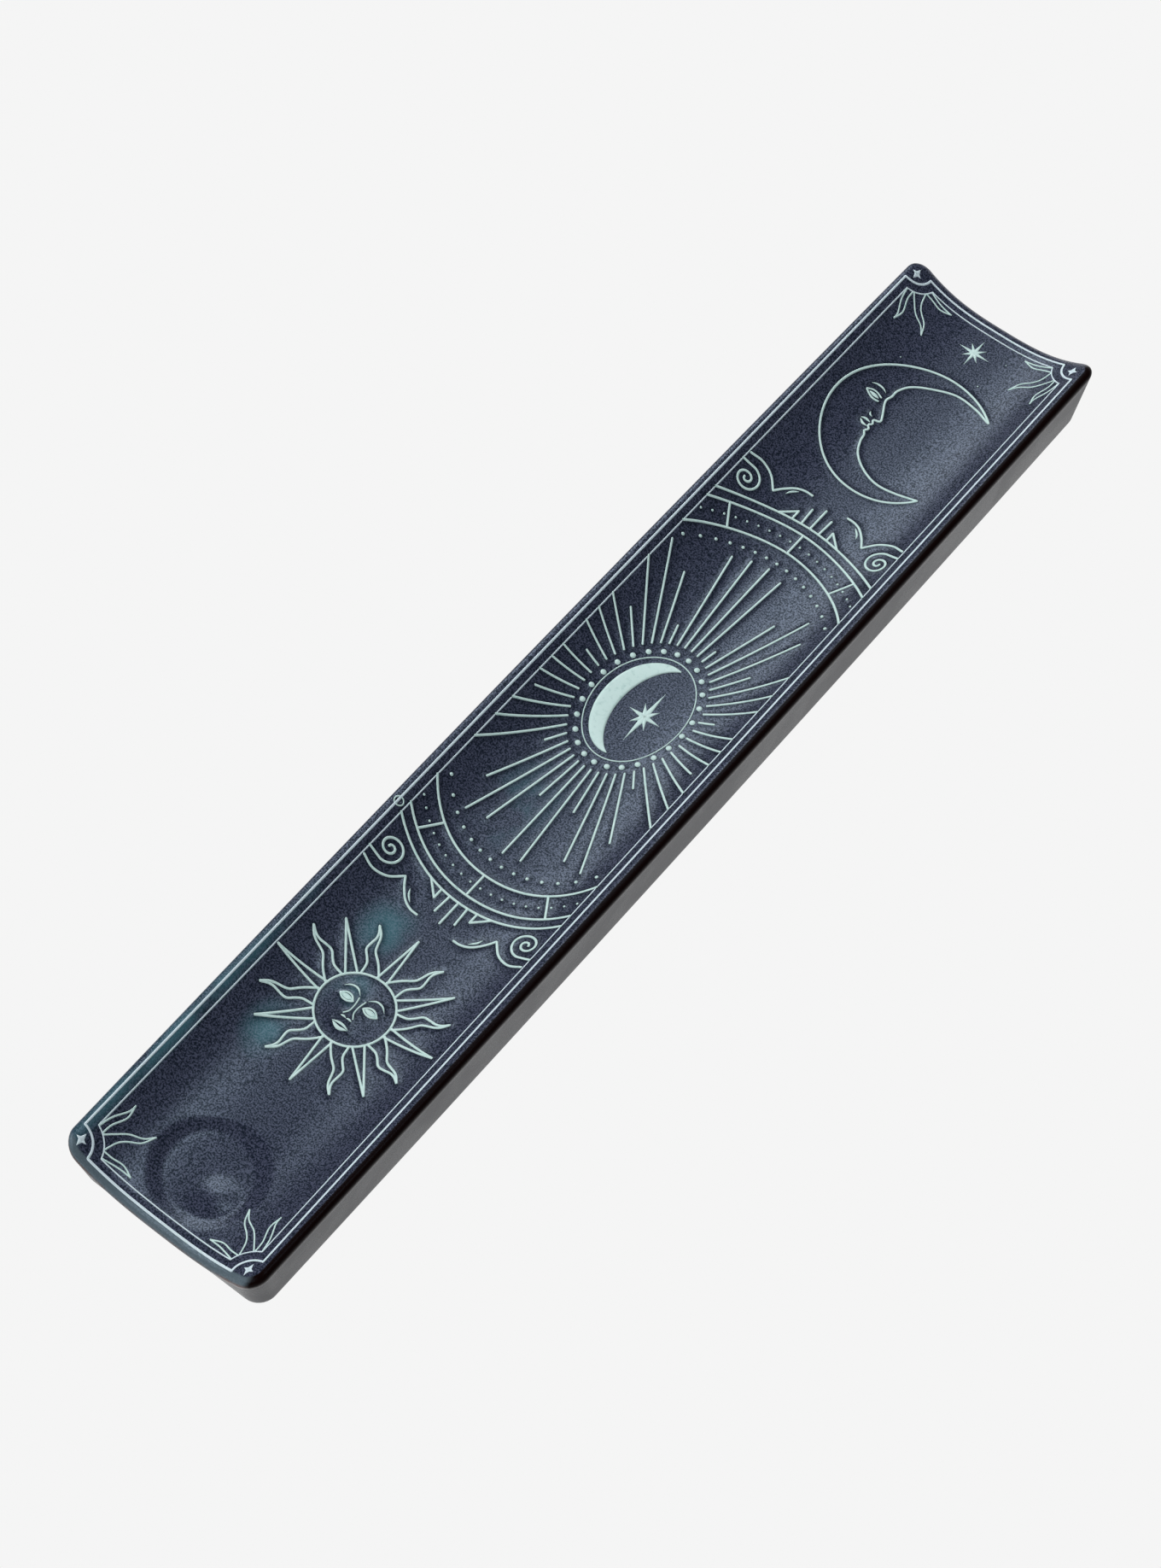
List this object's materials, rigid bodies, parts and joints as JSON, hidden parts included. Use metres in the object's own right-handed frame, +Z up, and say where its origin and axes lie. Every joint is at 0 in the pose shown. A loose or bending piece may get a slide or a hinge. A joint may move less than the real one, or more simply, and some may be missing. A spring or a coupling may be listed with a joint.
{
  "type": "incense burner",
  "caption": "Long shallow ceramic incense tray: a curved trough that catches ash, a low boss in a round well at one end, and raised sun, moon and star line work.",
  "frame": {"origin": "centre of the flat underside, on the surface that the tray stands on", "axes": "+Z up, +Y along the tray from the end with the round well to the end with the moon, +X across it"},
  "size_m": [0.046, 0.2592, 0.0149],
  "materials": {
    "navy_glaze": "satin midnight-blue glaze with a fine pebbled texture, thin and brown-black where it breaks over the rim",
    "mint_enamel": "pale mint enamel lines, slightly raised, satin"
  },
  "bodies": {
    "root": {"tray_body": "navy_glaze", "border_outer_line": "mint_enamel", "border_inner_line": "mint_enamel", "sun_ring_and_rays": "mint_enamel", "medallion_ring": "mint_enamel", "medallion_crescent": "mint_enamel", "medallion_star": "mint_enamel", "moon_outline": "mint_enamel", "far_star": "mint_enamel", "near_arch_band": "mint_enamel", "near_arch_crown": "mint_enamel", "near_left_swirl": "mint_enamel", "near_left_cloud": "mint_enamel", "near_left_corner_star": "mint_enamel", "near_right_swirl": "mint_enamel", "near_right_cloud": "mint_enamel", "near_right_corner_star": "mint_enamel", "far_arch_band": "mint_enamel", "far_arch_crown": "mint_enamel", "far_left_swirl": "mint_enamel", "far_left_cloud": "mint_enamel", "far_left_corner_star": "mint_enamel", "far_right_swirl": "mint_enamel", "far_right_cloud": "mint_enamel", "far_right_corner_star": "mint_enamel"}
  },
  "joints": []
}
